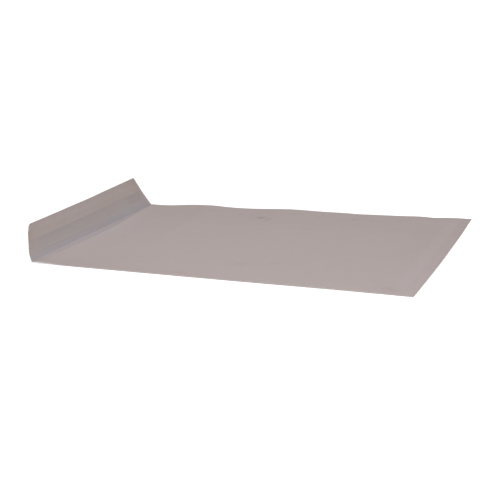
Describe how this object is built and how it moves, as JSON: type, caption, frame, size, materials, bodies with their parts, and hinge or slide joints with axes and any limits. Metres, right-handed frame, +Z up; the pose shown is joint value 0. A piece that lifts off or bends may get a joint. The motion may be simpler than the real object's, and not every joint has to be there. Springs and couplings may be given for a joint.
{
  "type": "peel and seal envelope",
  "caption": "Flat open-end paper pocket with a curved throat and a creased, tapered seal flap that carries an adhesive strip under a peel-off release liner.",
  "frame": {"origin": "middle of the pocket's underside, on the surface it lies on", "axes": "+X from the flap fold to the bottom edge, +Y across the pocket from the folded side to the glued side, +Z up out of the back panel"},
  "size_m": [0.3341, 0.229, 0.0295],
  "materials": {
    "envelope_paper": "matte",
    "seam_glue": "matte",
    "seal_adhesive": "satin",
    "release_liner": "satin"
  },
  "bodies": {
    "pocket": {"front_panel": "envelope_paper", "back_panel": "envelope_paper", "near_side_fold": "envelope_paper", "far_side_fold": "envelope_paper", "bottom_fold": "envelope_paper", "side_seam_flap": "envelope_paper", "side_seam_glue": "seam_glue", "bottom_flap": "envelope_paper", "bottom_seam_glue": "seam_glue", "flap_fold": "envelope_paper"},
    "flap": {"seal_flap": "envelope_paper", "seal_adhesive": "seal_adhesive"},
    "liner": {"release_liner": "release_liner"}
  },
  "joints": [
    {"name": "flap_swing", "type": "hinge", "parent": "pocket", "child": "flap", "pos_m": [-0.16112, 0, 0.00088], "axis": [0, 1, 0], "range_deg": [-57.5, 109.4], "deforming": ["flap_fold"]},
    {"name": "liner_pull", "type": "slide", "parent": "flap", "child": "liner", "axis": [0, -1, 0], "range_m": [0, 0.215]}
  ]
}
